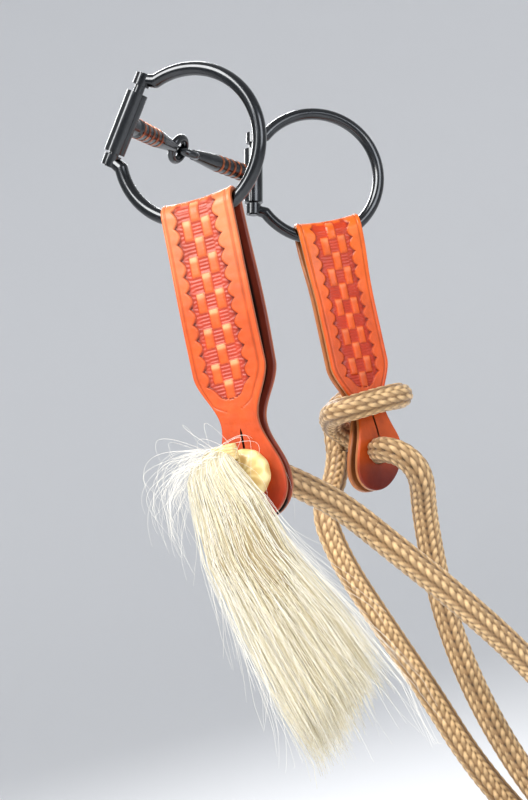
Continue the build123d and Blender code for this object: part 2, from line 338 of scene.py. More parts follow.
STEEL = steel_material()
COPPER = copper_material()
LEATHER = {
    "left": leather_material("tooled_leather", 0.12),
    "right": leather_material("red_leather", 0.22),
}
DARK_LEATHER = leather_material("dark_leather", 0.15)
ROPE = rope_material()
HAIR = hair_material()
RAWHIDE = rawhide_material()


def dress(obj, material, slot, body, *nodes):
    """Gives a piece its material, and says what it rides on and which CAD nodes it replaces. slot is not
    used.
    """
    obj.data.materials.append(material)
    if body:
        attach(obj, body)
    if nodes:
        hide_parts(*nodes)
    return obj


# ---- the rope ---------------------------------------------------------------------------------
# Sizes are in mm. A stitch's shape is in stitches along the rope and columns round it.
ROPE_D = 14.0
BRAID_PROUD = 0.4               # how far the stitches' tops stand out of the rope's nominal size
ROPE_COLUMNS = 11
STITCH, STITCH_HIGH = 5.2, 1.6
FINE, COARSE = (0.62, 63), (1.35, 36)   # step along the rope, and points round it
LEAF_REACH, LEAF_SLANT = 0.94, 0.30
COLUMN_SLANT, LEAF_HALF = 0.55, 0.48
LEAF_SINKS = 0.22               # how much lower a stitch's far end lies
STITCH_SHADES = 31              # how many different shades the stitches take
# The rope's middle tone, the painted shade in the braid's pits and the painted highlight on its stitches.
ROPE_MID, ROPE_PIT_SHADE, ROPE_HIGHLIGHT = linear(122, 88, 48), linear(14, 8, 3), linear(226, 192, 142)
HOLE_V = -129.0

REIN_LEFT_START = [(0, -9, HOLE_V), (0, 0.5, HOLE_V)]
REIN_LEFT = [
    (-50.9, -32.6, -186.5),
    (-37.1, -30.4, -186.7),
    (-25, -40, -197),
    (-9, -51, -212),
    (0, -69, -238),
    (22, -88, -272),
    (54, -103, -312),
    (86, -114, -358),
    (103, -121, -410),
    (103, -129, -458),
    (105, -134, -505),
]
REIN_RIGHT_START = [(0, -9, -129), (0, -20, -129), (8, -29, -134), (16, -30, -147)]
REIN_RIGHT = [
    (85, -53, -222),
    (89, -49, -250),
    (90, -48, -290),
    (88, -57, -337),
    (91, -73, -385),
    (101, -93, -428),
    (113, -113, -465),
    (124, -131, -505),
]
HITCH = [
    (0, -9, -129),
    (0, 12, -129),
    (-3, 22, -122),
    (-11, 22.5, -114),
    (-19, 17, -107.5),
    (-20.5, 5, -103),
    (-20, -10.5, -102.5),
    (-11, -19, -102.5),
    (7, -19, -101),
    (19, -13, -100.5),
    (20.8, 3, -100),
    (15, 16.8, -99),
    (3, 20.5, -97),
    (-4, 25, -94),
    (-11, 30.5, -98),
    (-15, 31.5, -110),
    (-16, 30, -124),
]
TAIL_START = [(-16, 30, -124), (-20, 29, -139)]
TAIL = [
    (79.5, 9, -210),
    (81, 4, -242),
    (86, -9, -280),
    (88, -27, -324),
    (91, -43, -370),
    (102, -63, -412),
    (120, -84, -455),
    (134, -106, -503),
]
TAIL_END = [(125.4, -122.4, -502), (125.4, -122.4, -545), (125.4, -122.4, -588)]


def metres(points):
    """Points in mm as metres."""
    return [tuple(float(c) * MM for c in point) for point in points]


def strap_route(side, points):
    """Points in a strap's own axes as points of a route, both in mm."""
    return [tuple(point / MM) for point in strap_point(side, points)]


def nurbs_line(name, route, step):
    """Evenly spaced points along the NURBS spline of a route, all in metres."""
    curve = bpy.data.curves.new(name, "CURVE")
    curve.dimensions = "3D"
    curve.resolution_u = 24
    spline = curve.splines.new("NURBS")
    spline.points.add(len(route) - 1)
    for point, place in zip(spline.points, route):
        point.co = (*place, 1)
    spline.order_u = 3
    spline.use_endpoint_u = True
    holder = add_object(name, curve)
    bpy.context.view_layer.update()
    mesh = bpy.data.meshes.new_from_object(holder)
    line = np.array([tuple(vertex.co) for vertex in mesh.vertices])
    bpy.data.objects.remove(holder)
    bpy.data.curves.remove(curve)
    bpy.data.meshes.remove(mesh)
    travelled = np.r_[0, np.cumsum(np.linalg.norm(np.diff(line, axis=0), axis=1))]
    keep = np.r_[True, np.diff(travelled) > 1e-9]
    line, travelled = line[keep], travelled[keep]
    at = np.linspace(0, travelled[-1], int(round(travelled[-1] / step)) + 1)
    return np.stack([np.interp(at, travelled, line[:, i]) for i in range(3)], axis=1)


def carried_axes(line):
    """Two axes across the line at each of its points, carried along it without twist."""
    ahead = np.gradient(line, axis=0)
    ahead /= np.linalg.norm(ahead, axis=1)[:, None]
    side = np.cross(ahead[0], (0.0, 0.0, 1.0))
    if np.linalg.norm(side) < 0.1:
        side = np.cross(ahead[0], (1.0, 0.0, 0.0))
    side /= np.linalg.norm(side)
    sides = np.empty_like(line)
    for i, direction in enumerate(ahead):
        side = side - direction * np.dot(side, direction)
        side = side / np.linalg.norm(side)
        sides[i] = side
    return sides, np.cross(ahead, sides)


def braid_height(along, around):
    """The braid's surface, 0 in its pits to 1 on its stitches, each stitch's shade from 0 to 1, and how
    far each point is along its stitch. along is in stitches and around in columns. Every stitch is a
    slanting leaf that lies half over the next."""
    best = np.zeros(np.broadcast(along, around).shape)
    which = np.zeros_like(best)
    tip = np.zeros_like(best)
    column0 = np.floor(around)
    for dc in (-1, 0, 1, 2):
        column = column0 + dc
        lean = np.where(np.mod(column, 3) == 2, -1.0, 1.0)
        shift = np.mod(column, ROPE_COLUMNS) * 0.5
        row0 = np.floor(along - shift)
        for dr in (-1, 0, 1, 2):
            row = row0 + dr
            a = along - (row + shift)
            b = around - column
            leaf_along = a * LEAF_REACH + b * LEAF_SLANT * lean
            leaf_across = b - a * COLUMN_SLANT * lean
            room = 1 - leaf_along**2 - (leaf_across / LEAF_HALF) ** 2
            height = np.sqrt(np.clip(room, 0, None)) * (1 - LEAF_SINKS * leaf_along)
            better = height > best
            best = np.where(better, height, best)
            tip = np.where(better, leaf_along, tip)
            number = row * 7.0 + np.mod(column, ROPE_COLUMNS) * 13.0
            which = np.where(better, np.mod(number, STITCH_SHADES), which)
    return np.clip(best, 0, 1), which / STITCH_SHADES, tip


def rope_mesh(name, line, axes_across, start_at, detail):
    """The braided tube along a stretch of line. start_at is how far the stretch starts along its rope."""
    step, columns = detail
    side, up = axes_across
    angles = circle(columns)
    along = (start_at + np.arange(len(line)) * step) / STITCH
    around = angles / (2 * pi) * ROPE_COLUMNS
    height, which, tip = braid_height(along[:, None], around[None, :])
    radius = (ROPE_D / 2 + BRAID_PROUD - STITCH_HIGH * (1 - height)) * MM
    out = side[:, None] * np.cos(angles)[None, :, None] + up[:, None] * np.sin(angles)[None, :, None]
    rings = line[:, None] + out * radius[..., None]
    share = height.reshape(-1, 1)
    shade = 0.90 + 0.20 * which.reshape(-1, 1)
    # Painted shade: the braid's pits, and the points at the tube's two ends, are painted dark.
    paint = ROPE_PIT_SHADE + (ROPE_MID - ROPE_PIT_SHADE) * ease((share - 0.08) / 0.55)
    # Painted highlight: the stitches' raised tops are painted paler, most at the end of each stitch that
    # stands highest.
    lit = ease((share - 0.45) / 0.5) * (0.35 + 0.65 * ease((0.15 - tip.reshape(-1, 1)) / 0.6))
    paint = (paint + (ROPE_HIGHLIGHT - ROPE_MID) * lit) * shade
    return tube_mesh(name, rings, line[[0, -1]], np.r_[paint, [ROPE_PIT_SHADE], [ROPE_PIT_SHADE]])


def rope_pieces(name, route, detail, cuts):
    """One stretch of rope cut into pieces. cuts is a list of (piece name, end in mm along it)."""
    step = detail[0]
    line = nurbs_line(name, metres(route), step * MM)
    across = carried_axes(line)
    pieces, begin = [], 0
    for piece_name, end in cuts:
        stop = len(line) - 1 if end is None else int(round(end / step))
        part = slice(begin, stop + 1)
        piece = rope_mesh(piece_name, line[part], (across[0][part], across[1][part]), begin * step, detail)
        pieces.append((piece, line[part]))
        begin = stop
    return pieces


def blend_along(piece, line, body_a, body_b):
    """Bakes a piece of rope's transform into its mesh. line, body_a and body_b are not used."""
    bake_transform(piece)


ROOT = "right_mouthpiece_and_rope"
left_pieces = rope_pieces(
    "rein_left_line",
    strap_route("left", REIN_LEFT_START) + REIN_LEFT,
    FINE,
    [("rein_left_upper", 92), ("rein_left_middle", 180), ("rein_left_lower", None)],
)
for (piece, line), bodies, nodes in zip(
    left_pieces,
    (("left_strap", "left_ring"), ("left_ring", "left_mouthpiece"), ("left_mouthpiece", ROOT)),
    (("rope_end_in_tab", "rein_left"), ("rein_left",), ("rein_left",)),
):
    dress(piece, ROPE, "rope", None, *nodes)
    blend_along(piece, line, *bodies)

right_route = strap_route("right", REIN_RIGHT_START) + REIN_RIGHT
tail_route = strap_route("right", TAIL_START) + TAIL
for label, route in (("rein_right", right_route), ("rope_tail", tail_route)):
    pair = rope_pieces(f"{label}_line", route, FINE, [(f"{label}_upper", 110), (f"{label}_lower", None)])
    for (piece, line), bodies in zip(pair, (("right_strap", "right_ring"), ("right_ring", ROOT))):
        dress(piece, ROPE, "rope", None, label)
        blend_along(piece, line, *bodies)

hitch_route = strap_route("right", HITCH)
(hitch, hitch_line), = rope_pieces("hitch_line", hitch_route, FINE, [("rope_hitch_braid", None)])
dress(hitch, ROPE, "rope", "right_strap", "rope_hitch")

# The unseen rope: ten turns round a coil, three of them inside the other seven, twisting as they go.
COIL_CENTRE = np.array((66.0, -46.0, -510.0))
COIL_RADIUS = 75.0
COIL_HEADING = radians(-52.3)
COIL_X = np.array((cos(COIL_HEADING), sin(COIL_HEADING), 0.0))
COIL_AXIS = np.array((sin(COIL_HEADING), -cos(COIL_HEADING), 0.0))
COIL_POINTS = 14
CONTROL_REACH = 1 / (0.75 + 0.25 * cos(2 * pi / COIL_POINTS))   # a NURBS circle's points lie outside it
COIL_FAN = 0.10                 # how much wider the bundle is opposite its tie


def coil_route(slots, slot_radius, turns, first_slot, wander):
    """Control points of turns that share a bundle in evenly spaced slots. It fans out away from its tie."""
    count = int(round(turns * COIL_POINTS))
    route = []
    for i in range(count + 1):
        turn = i / COIL_POINTS + 0.015
        away = sin(pi * (turn % 1)) ** 2
        slot = 2 * pi * (first_slot - turn) / slots
        spread = slot_radius * (1 + COIL_FAN * away)
        drift = wander * away * sin(2.1 * turn + first_slot)
        radius = (COIL_RADIUS + spread * cos(slot) + drift) * CONTROL_REACH
        angle = -2 * pi * turn
        offset = COIL_X * radius * cos(angle) + np.array((0, 0, radius * sin(angle)))
        route.append(tuple(COIL_CENTRE + offset + COIL_AXIS * spread * sin(slot)))
    return route


inner_turns = coil_route(slots=3, slot_radius=8.6, turns=2.93, first_slot=0.75, wander=0.3)
outer_turns = coil_route(slots=8, slot_radius=23.4, turns=6.97, first_slot=7.0, wander=0.5)
(coil_rein, coil_rein_line), = rope_pieces(
    "coil_rein_line", inner_turns, COARSE, [("rope_coil_rein", None)]
)
(coil_lead, coil_lead_line), = rope_pieces(
    "coil_lead_line", outer_turns, COARSE, [("rope_coil_lead", None)]
)
for piece, line in ((coil_rein, coil_rein_line), (coil_lead, coil_lead_line)):
    dress(piece, ROPE, "rope", ROOT, "rope_coil")
(tail_end, tail_end_line), = rope_pieces("tail_end_line", TAIL_END, FINE, [("rope_tail_end_braid", None)])
dress(tail_end, ROPE, "rope", ROOT, "rope_tail_end")

# ---- the slobber straps -----------------------------------------------------------------------
# Sizes are in mm. t is the distance along a strap from its fold, and v is the height over its bar.
LEATHER_T = 3.5
FOLD_R = 6.85                   # the middle of the leather round the bar
QUARTER = FOLD_R * pi / 2
HALF_WIDE, NECK_HALF, TAB_HALF = 19.0, 9.75, 17.2
NECK_FROM, NECK_LONG = -76, 27
TAB_FROM, TAB_LONG = -103, 28
TIP_V, TAB_R = -151.0, 17.4
TIP_MIDDLE = QUARTER - (TIP_V + TAB_R)      # how far along the middle of the tab's round tip is
STRAP_COLUMNS, TIP_ROWS = 92, 40
FINE_ROW, PLAIN_ROW = 0.45, 0.7             # the distance between rows in the tooling and below it
EDGE_ROUND = 1.2
HOLE_R = 7.6
SLIT_HALF, SLIT_TOP, SLIT_POINT = 0.55, -106.0, 0.12
STAMP_PITCH = 17.6              # of the basket weave's bars
STAMP_DEEP, BAR_HIGH = 0.85, 0.80
BAR_LONG, BAR_HALF = 10.6, 2.35
SIDE_COLUMN = 5.0
RIB_PITCH, RIB_HIGH = 1.75, 0.16
FAN_RIBS, FAN_HIGH = 26, 0.12
SCALLOP_PITCH, CUSP_AT, LOBE = 7.8, 12.3, 2.7
CUSP_DEEP = 0.35
PATTERN_END, PATTERN_TAPER = QUARTER + 91.0, 13
CREASE_IN, CREASE_HALF, CREASE_DEEP = 2.6, 0.42, 0.32
CREASE_END, CREASE_TAPER = QUARTER + 97.0, 20
SADDLE_R = 39                   # the curve across the strap where it lies on the bar
TWIST_NECK, TWIST_TAB = radians(17), radians(11)    # how far the right strap turns below its bar
# Each palette holds the strap's own colours, and a paler one that is painted near the top as the light
# falling there.
PALETTES = {
    "left": {
        "base": linear(198, 80, 28),
        "painted_light": linear(228, 132, 84),
        "bar": linear(206, 86, 32),
        "recess": linear(166, 52, 36),
        "deep": linear(66, 8, 6),
        "edge": linear(160, 84, 46),
        "tab": linear(184, 70, 24),
        "tip": linear(168, 48, 18),
        "flesh": linear(26, 14, 10),
    },
    "right": {
        "base": linear(204, 78, 6),
        "painted_light": linear(222, 104, 26),
        "bar": linear(206, 80, 8),
        "recess": linear(170, 34, 2),
        "deep": linear(104, 14, 2),
        "edge": linear(176, 112, 62),
        "tab": linear(190, 78, 16),
        "tip": linear(112, 26, 8),
        "flesh": linear(150, 92, 50),
    },
}
PATTERN_MIDDLE = {"left": -1.2, "right": 0.0}
GLEAM = {"left": 0.75, "right": 0.22}       # how strong the painted highlight at each bar's upper end is
# The colour of the painted highlight on the bars' upper ends, and the colour of the left strap's turned-over
# edge.
BAR_HIGHLIGHT, TURNED_EDGE = linear(246, 176, 126), linear(126, 46, 28)


def strap_half(v):
    """Half the strap's width at a height."""
    neck = HALF_WIDE + (NECK_HALF - HALF_WIDE) * ease((NECK_FROM - v) / NECK_LONG)
    return neck + (TAB_HALF - NECK_HALF) * ease((TAB_FROM - v) / TAB_LONG)


def strap_rows():
    """How far along the strap each row is from its fold, and half its width there, for one layer."""
    down = [FINE_ROW * i for i in range(int((PATTERN_END + 6) / FINE_ROW))]
    down += list(np.arange(down[-1] + PLAIN_ROW, TIP_MIDDLE, PLAIN_ROW))
    half = [float(strap_half(QUARTER - t)) for t in down]
    for turn in np.linspace(0.03, pi / 2 - 0.01, TIP_ROWS):
        down.append(TIP_MIDDLE + TAB_R * sin(turn))
        half.append(TAB_HALF * cos(turn))
    return np.array(down), np.array(half)


def rounded_end(t, end, taper):
    """1 along the strap, falling as a quarter circle to 0 at the end over the taper."""
    return np.sqrt(np.clip(1 - (np.clip(t - (end - taper), 0, None) / taper) ** 2, 0, 1))


def stamped(x, t):
    """The tooling at x across and t along: its height, and shares of four kinds of place. These are
    the recess, its deep-dyed edge, the weave's bars and the painted highlight at the bars' upper ends."""
    taper = rounded_end(t, PATTERN_END, PATTERN_TAPER)
    starting = ease((t - 2.5) / 2.0)
    lobes = np.abs(np.sin(pi * t / SCALLOP_PITCH)) ** 0.75
    border = (CUSP_AT - LOBE * lobes) * taper
    inside = ease((border - np.abs(x) + 0.25) / 0.5) * starting * (taper > 0.02)
    bars, gleam = np.zeros_like(x), np.zeros_like(x)
    for column, offset in ((0.0, 0.0), (-SIDE_COLUMN, STAMP_PITCH / 2), (SIDE_COLUMN, STAMP_PITCH / 2)):
        place = np.mod(t + offset - 4.0, STAMP_PITCH)
        across = np.abs(x - column) / BAR_HALF
        sides = ease((1.03 - across) / 0.16)
        ends = ease(place / 0.7) * ease((BAR_LONG - place) / 1.1)
        arch = 0.82 + 0.18 * np.sin(pi * np.clip(place / BAR_LONG, 0, 1))
        bar = sides * ends * arch * (1 - 0.16 * np.clip(across, 0, 1) ** 2)
        bars = np.maximum(bars, bar)
        # Painted highlight: each bar's upper end, where the light catches it.
        gleam = np.maximum(gleam, bar * np.exp(-(((place - 1.7) / 1.2) ** 2)))
    clear = ease((border - np.abs(x) - 0.5) / 1.0)
    bars = bars * clear * inside
    weave_half = SIDE_COLUMN + BAR_HALF
    ribs = RIB_HIGH * np.sin(2 * pi * t / RIB_PITCH) * (np.abs(x) < weave_half)
    half_pitch = SCALLOP_PITCH / 2
    fan_angle = np.arctan2(x, (np.mod(t, SCALLOP_PITCH) - half_pitch) + 1e-6)
    fans = FAN_HIGH * np.sin(FAN_RIBS * fan_angle) * (np.abs(x) >= weave_half)
    near_edge = np.exp(-(((border - np.abs(x)) / 0.9) ** 2)) * inside
    cusp = np.exp(-((np.abs(np.mod(t + half_pitch, SCALLOP_PITCH) - half_pitch)) / 1.3) ** 2)
    deep = np.clip(near_edge * (0.35 + 1.1 * cusp), 0, 1)
    deep = np.maximum(deep, 0.75 * cusp * inside * ease((np.abs(x) - 8.6) / 3.0))
    height = BAR_HIGH * bars - STAMP_DEEP * inside + (ribs + fans) * inside * (1 - bars) - CUSP_DEEP * deep
    return height, inside * (1 - bars), deep, bars, gleam * clear * inside


def creased(x, t, half):
    """The creased line inside the strap's edge, which turns in below the tooling."""
    reach = rounded_end(t, CREASE_END, CREASE_TAPER)
    line = np.minimum(half - CREASE_IN, (HALF_WIDE - CREASE_IN) * reach)
    live = (t < CREASE_END) * ease((t - 1.0) / 3)
    return np.exp(-(((np.abs(x) - line) / CREASE_HALF) ** 2)) * live


def cut_through(obj, cutters):
    """Cuts pieces out of a mesh and applies it."""
    for cutter in cutters:
        modifier = obj.modifiers.new("cut", "BOOLEAN")
        modifier.operation = "DIFFERENCE"
        modifier.solver = "EXACT"
        modifier.object = cutter
    graph = bpy.context.evaluated_depsgraph_get()
    mesh = bpy.data.meshes.new_from_object(obj.evaluated_get(graph))
    obj.modifiers.clear()
    obj.data = mesh
    for cutter in cutters:
        shape = cutter.data
        bpy.data.objects.remove(cutter)
        bpy.data.meshes.remove(shape)


def keyhole(name, at, up):
    """A prism of the tab's hole and the slit above it, in the flat strap. up is the slit's way along it."""
    opening = np.arcsin(SLIT_HALF / HOLE_R)
    turn = np.linspace(pi / 2 + opening, 2.5 * pi - opening, 56)
    outline = [(HOLE_R * cos(a), HOLE_R * sin(a)) for a in turn]
    reach = SLIT_TOP - HOLE_V
    right_side = [(SLIT_HALF, reach - 2.0), (SLIT_POINT, reach)]
    outline += right_side + [(-x, y) for x, y in reversed(right_side)]
    count = len(outline)
    low = [(x, at + up * y, -6.0) for x, y in outline]
    high = [(x, at + up * y, 14.0) for x, y in outline]
    mesh = bpy.data.meshes.new(name)
    around = [(i, (i + 1) % count, count + (i + 1) % count, count + i) for i in range(count)]
    caps = [tuple(reversed(range(count))), tuple(range(count, 2 * count))]
    mesh.from_pydata(low + high, [], around + caps)
    if up < 0:
        mesh.flip_normals()
    return add_object(name, mesh)


def bent_strap(side, x, u, lift):
    """Points of the flat strap, across, along and through it, where they hang, in the strap's axes."""
    t = np.abs(u)
    turn = np.clip(u / FOLD_R, -pi / 2, pi / 2)
    reach = FOLD_R + lift
    below = np.clip(t - QUARTER, 0, None)
    saddle = SADDLE_R - np.sqrt(SADDLE_R**2 - x**2)
    n = reach * np.sin(turn)
    v = reach * np.cos(turn) - below + (1.6 + 0.35 * saddle) * (1 - ease(t / 60)) - 0.3
    back = ease((n + 2) / 6)
    if side == "left":
        n = n + back * 3.0 * np.sin(pi * np.clip(below / 95, 0, 1)) ** 2
        n = n - back * 5.2 * ease((below - 84) / 32)
        n = n - (1 - back) * 0.8 * np.sin(pi * np.clip(below / 90, 0, 1)) ** 2
        n = n + (1 - back) * 1.2 * ease((below - 100) / 45) * (x / TAB_HALF) ** 2
    else:
        n = n - np.sign(u) * (4.3 * ease((below + 4) / 34) - 1.2 * ease((below - 96) / 30))
        twist = TWIST_NECK * ease((below + 6) / 48) + TWIST_TAB * ease((below - 96) / 24)
        x, n = x * np.cos(twist) - n * np.sin(twist), x * np.sin(twist) + n * np.cos(twist)
        x = x - 6.5 * ease((below - 120) / 36)
    return np.stack([x, n, v], axis=1)


def strap_paint(side, t, laid, from_edge, inside, tooling):
    """The leather's colour at each vertex, from where it is and what the tooling does there, with painted
    light towards the top and a painted highlight at each bar's upper end.
    """
    recess, deep, bars, gleam, crease = (share[:, None] for share in tooling)
    tone = PALETTES[side]

    def toward(colour, share):
        return paint + (colour - paint) * share

    paint = tone["base"] + (tone["tab"] - tone["base"]) * ease((t - QUARTER - 92) / 22)[:, None]
    paint = toward(tone["tip"], ease((t - QUARTER - 122) / 26)[:, None])
    # Painted light: the strap is painted paler towards its fold at the top, where the light falls on it.
    top_light_share = 0.75 * (1 - ease(t / 70))[:, None]
    paint = toward(tone["painted_light"], top_light_share)
    paint = toward(tone["recess"], 0.85 * recess)
    paint = toward(tone["bar"], 0.9 * bars)
    # The bars take the same painted light near the top.
    paint = toward(tone["painted_light"], 0.5 * bars * top_light_share)
    # Painted highlight on each bar's upper end.
    paint = toward(BAR_HIGHLIGHT, GLEAM[side] * gleam)
    paint = toward(tone["deep"], 0.92 * deep)
    paint = paint * (1 - 0.35 * crease)
    rim = np.exp(-((np.clip(from_edge - 0.5, 0, None) / 0.8) ** 2))[:, None]
    paint = paint * (1 + 0.10 * rim)
    paint = np.where((np.abs(laid) < 1.0)[:, None], tone["edge"], paint)
    return toward(tone["flesh"], inside[:, None])


def build_strap(side):
    """One doubled strap as a single sheet of leather: laid flat, cut, tooled, then hung over its bar."""
    down, half = strap_rows()
    along = np.r_[-down[::-1], down[1:]]
    halves = np.r_[half[::-1], half[1:]]
    bunching = 1.35             # columns lie closer towards the edges
    share = np.sin(np.linspace(-1, 1, STRAP_COLUMNS) * bunching) / sin(bunching)
    x = halves[:, None] * share[None, :]
    u = np.repeat(along[:, None], STRAP_COLUMNS, axis=1)
    inset = np.clip((np.abs(x) - (halves[:, None] - EDGE_ROUND)) / EDGE_ROUND, 0, 1)
    drop = EDGE_ROUND * (1 - np.sqrt(1 - inset**2))
    outer = np.stack([x, u, LEATHER_T / 2 - drop], axis=-1)
    inner = np.stack([x, u, -LEATHER_T / 2 + drop], axis=-1)[:, ::-1]
    ring = np.concatenate([outer, inner], axis=1)
    rows, around = ring.shape[:2]
    faces = grid_faces(rows, around)
    caps = []
    for row in (0, rows - 1):
        base = row * around
        for j in range(STRAP_COLUMNS - 1):
            quad = [base + j, base + j + 1, base + around - 2 - j, base + around - 1 - j]
            caps.append(quad if row == 0 else quad[::-1])
    quads = np.r_[faces, np.array(caps)][:, ::-1]
    strap = new_mesh(f"{side}_strap_leather", ring.reshape(-1, 3), quads)
    hole = QUARTER - HOLE_V
    cut_through(strap, [keyhole("front_hole", -hole, 1), keyhole("back_hole", hole, -1)])

    flat = np.empty(len(strap.data.vertices) * 3)
    strap.data.vertices.foreach_get("co", flat)
    x, u, laid = flat.reshape(-1, 3).T
    t = np.abs(u)
    here = np.where(t > TIP_MIDDLE, TAB_HALF, strap_half(QUARTER - t))
    outward = ease((laid - 0.9) / 0.5)
    pattern_x = x - PATTERN_MIDDLE[side] * ease((HALF_WIDE - np.abs(x)) / 8)
    height, recess, deep, bars, gleam = stamped(pattern_x, t)
    crease = creased(pattern_x, t, here)
    wrinkle = 0.10 * np.sin(0.9 * t + 0.35 * x) * np.sin(0.31 * t - 0.5 * x)
    dent = -0.35 * np.exp(-((x / 3.0) ** 2) - ((t - QUARTER - 104) / 7) ** 2)
    lift = laid + outward * (height - CREASE_DEEP * crease + 0.35 * wrinkle + dent)
    from_edge = here - np.abs(x)
    inside = ease((-laid - 0.9) / 0.3)
    paint = strap_paint(side, t, laid, from_edge, inside, (recess, deep, bars, gleam, crease))
    if side == "left":
        turned_over = inside * (u > QUARTER) * (x > 0) * ease((4.4 - from_edge) / 1.2)
        paint = paint + (TURNED_EDGE - paint) * (0.85 * turned_over)[:, None]
    set_paint(strap, paint)

    places = strap_point(side, bent_strap(side, x, u, lift))
    strap.data.vertices.foreach_set("co", places.ravel())
    strap.data.update()
    strap.data.polygons.foreach_set("use_smooth", np.full(len(strap.data.polygons), True))
    slot = "tooled_leather" if side == "left" else "red_leather"
    dress(strap, LEATHER[side], slot, f"{side}_strap", f"{side}_slobber_strap")


for side in STRAPS:
    build_strap(side)


# ---- the rawhide button -----------------------------------------------------------------------

def build_button():
    """A domed disc of woven rawhide on the rope's end, in front of the left tab."""
    rings, sectors, strings = 40, 96, 5
    middle, wide, deep, raise_by = (0.6, -14.6, HOLE_V + 0.4), 12.2, 5.6, 0.16
    around = circle(sectors)
    points, paint = [], []
    cream, amber = linear(244, 224, 164), linear(214, 176, 104)
    for turn in pi * np.arange(rings + 1) / rings:
        weave = np.sin(strings * around + 3.2 * turn) * np.sin(strings * around - 3.2 * turn)
        raised = raise_by * np.tanh(2.0 * weave) * sin(turn)
        radius = wide * sin(turn) ** 0.72 + raised
        depth = (deep + 0.6 * raised) * -cos(turn)
        points.append(np.c_[radius * np.cos(around), depth, radius * np.sin(around)] + np.array(middle))
        shade = ease(0.5 + 0.9 * weave)[:, None] * 0.75 + 0.25
        paint.append(amber + (cream - amber) * shade)
    places = strap_point("left", np.concatenate(points))
    faces = grid_faces(rings + 1, sectors)
    button = new_mesh("rawhide_button_woven", places, faces, paint=np.concatenate(paint))
    dress(button, RAWHIDE, "rawhide", "left_strap", "rawhide_button")


build_button()


# ---- the horsehair tassel ---------------------------------------------------------------------
HAIR_TOP = -115
# height, middle across, middle depth, half width and half depth of each level of the hair
HAIR_LEVELS = np.array([
    (HAIR_TOP, -6, -26.5, 4.0, 3.0),
    (-119, -8.5, -31.0, 9.0, 5.0),
    (-127, -8.5, -31.5, 13.5, 7.0),
    (-140, -5, -30.5, 18.5, 8.6),
    (-166, 0, -29.5, 23.5, 11.5),
    (-200, 14.5, -29.0, 29.5, 13.0),
    (-234, 28, -29.0, 32.0, 13.5),
    (-262, 35, -29.0, 27.0, 12.5),
])
HAIR_END = HAIR_LEVELS[-1, 0]
HAIR_TONES = np.array(
    [linear(250, 244, 220), linear(238, 228, 194), linear(204, 188, 146), linear(253, 250, 240)]
)
TONE_SHARES = [0.40, 0.26, 0.10, 0.24]
# The loose hairs' pale colour, and the dark colour painted on the bundle's core as the shade inside it.
PALE_HAIR, CORE_HAIR_SHADE = linear(244, 242, 234), linear(150, 134, 98)
THIN = 0.10                     # half a loose hair's thickness


def hair_place(turn, share, fall):
    """Where hairs are at heights: turn and share place each one in the bundle's section."""
    heights = HAIR_LEVELS[::-1, 0]
    middle, depth, wide, deep = (np.interp(fall, heights, HAIR_LEVELS[::-1, i]) for i in (1, 2, 3, 4))
    return np.stack(
        [middle + wide * share * np.cos(turn), depth + deep * share * np.sin(turn), fall + 0 * turn], axis=-1
    )


def hair_mesh(name, strands, thickness, paint):
    """A hair piece of thin tapered three-sided strands, each along a row of points in mm."""
    count, joints = strands.shape[:2]
    ahead = np.gradient(strands, axis=1)
    ahead /= np.linalg.norm(ahead, axis=2)[..., None] + 1e-9
    side = np.cross(ahead, np.array((0.31, 0.9, 0.3)))
    side /= np.linalg.norm(side, axis=2)[..., None] + 1e-9
    up = np.cross(ahead, side)
    taper = np.linspace(1, 0.35, joints)[None, :, None] * thickness[:, None, None]
    corners = [strands + taper * (side * cos(a) + up * sin(a)) for a in (0, 2 * pi / 3, 4 * pi / 3)]
    points = np.stack(corners, axis=2).reshape(-1, 3)
    row = np.arange(joints - 1)[:, None] * 3
    k = np.arange(3)[None, :]
    j = (k + 1) % 3
    quad = np.stack([row + k, row + j, row + 3 + j, row + 3 + k], axis=-1).reshape(-1, 4)
    quads = (quad[None] + (np.arange(count) * joints * 3)[:, None, None]).reshape(-1, 4)
    first = np.arange(count) * joints * 3
    triangles = np.r_[
        np.stack([first + 2, first + 1, first], axis=1),
        np.stack([first, first + 1, first + 2], axis=1) + (joints - 1) * 3,
    ]
    paint = np.repeat(np.broadcast_to(paint, (count, 3)), joints * 3, axis=0)
    hair = new_mesh(name, strap_point("left", points), quads, triangles, paint)
    return dress(hair, HAIR, "horsehair", "tassel", "horsehair_tassel")


